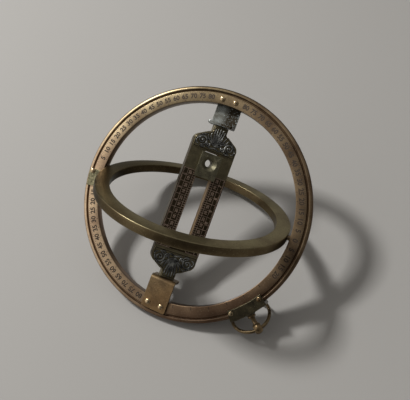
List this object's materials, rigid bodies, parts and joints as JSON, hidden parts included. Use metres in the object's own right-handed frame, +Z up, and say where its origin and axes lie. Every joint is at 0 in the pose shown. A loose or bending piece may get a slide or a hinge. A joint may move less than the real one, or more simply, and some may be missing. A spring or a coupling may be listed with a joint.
{
  "type": "ring dial",
  "caption": "Pocket universal ring dial in aged brass: hour ring opened inside a meridian ring, slotted bridge with a pinhole slider, and a hanging ring on a sliding saddle.",
  "frame": {"origin": "middle of the bounding box at the table, under the dial's centre, with the dial lying at rest on the rims of both rings", "axes": "+Z up from the table, +X along the hour ring's pivots to the saddle's side, +Y away from the reader, where the meridian ring rises"},
  "size_m": [0.07, 0.0608, 0.0389],
  "materials": {
    "meridian_ring": "aged brass, dulled to brown",
    "lower_bracket": "aged sheet brass",
    "upper_bracket": "scratched sheet brass",
    "lower_bracket_rivets": "rubbed bright brass",
    "upper_bracket_rivets": "rubbed bright brass",
    "hour_pivot_pins": "aged brass",
    "pole_pivot_pins": "aged brass",
    "hour_ring_stop": "aged sheet brass",
    "stop_rivet": "rubbed brass",
    "hour_ring": "aged brass, dulled to olive brown",
    "bridge": "blackened brass with worn high spots",
    "slider_front": "darkened brass",
    "slider_back": "darkened brass",
    "slider_rivets": "darkened brass",
    "slider_leaves": "spring brass",
    "suspension_saddle": "darkened brass",
    "guide_pins": "rubbed bright brass",
    "swivel_washer": "aged brass",
    "swivel": "aged brass with rubbed ball",
    "suspension_ring": "aged brass wire with rubbed high side"
  },
  "bodies": {
    "frame": {"meridian_ring": "meridian_ring", "lower_bracket": "lower_bracket", "upper_bracket": "upper_bracket", "lower_bracket_rivets": "lower_bracket_rivets", "upper_bracket_rivets": "upper_bracket_rivets", "hour_pivot_pins": "hour_pivot_pins", "pole_pivot_pins": "pole_pivot_pins", "hour_ring_stop": "hour_ring_stop", "stop_rivet": "stop_rivet"},
    "hour_ring_body": {"hour_ring": "hour_ring"},
    "bridge_body": {"bridge": "bridge"},
    "slider_body": {"slider_front": "slider_front", "slider_back": "slider_back", "slider_rivets": "slider_rivets", "slider_leaves": "slider_leaves"},
    "saddle_body": {"suspension_saddle": "suspension_saddle", "guide_pins": "guide_pins"},
    "swivel_body": {"swivel": "swivel", "swivel_washer": "swivel_washer"},
    "suspension_ring_body": {"suspension_ring": "suspension_ring"}
  },
  "joints": [
    {"name": "hour_ring_hinge", "type": "hinge", "parent": "frame", "child": "hour_ring_body", "pos_m": [0, 0, 0.01947], "axis": [0.9999, 0, -0.014], "range_deg": [-109.4, 0]},
    {"name": "bridge_hinge", "type": "hinge", "parent": "frame", "child": "bridge_body", "pos_m": [0, 0, 0.01947], "axis": [0.0073, 0.8511, 0.525], "continuous": true},
    {"name": "slider_slide", "type": "slide", "parent": "bridge_body", "child": "slider_body", "axis": [0.0073, 0.8511, 0.525], "range_m": [-0.02032, 0.0003]},
    {"name": "saddle_hinge", "type": "hinge", "parent": "frame", "child": "saddle_body", "pos_m": [0, 0, 0.01947], "axis": [-0.0119, 0.5251, -0.851], "range_deg": [-115.21, 32.21]},
    {"name": "swivel_hinge", "type": "hinge", "parent": "saddle_body", "child": "swivel_body", "pos_m": [0.02998, -0.02273, 0.00503], "axis": [0.744, -0.5639, -0.3583], "range_deg": [-18, 45]},
    {"name": "suspension_ring_hinge", "type": "hinge", "parent": "swivel_body", "child": "suspension_ring_body", "pos_m": [0.03025, -0.02293, 0.0049], "axis": [0.6438, 0.7486, 0.1587], "range_deg": [-272.7, 0]}
  ]
}
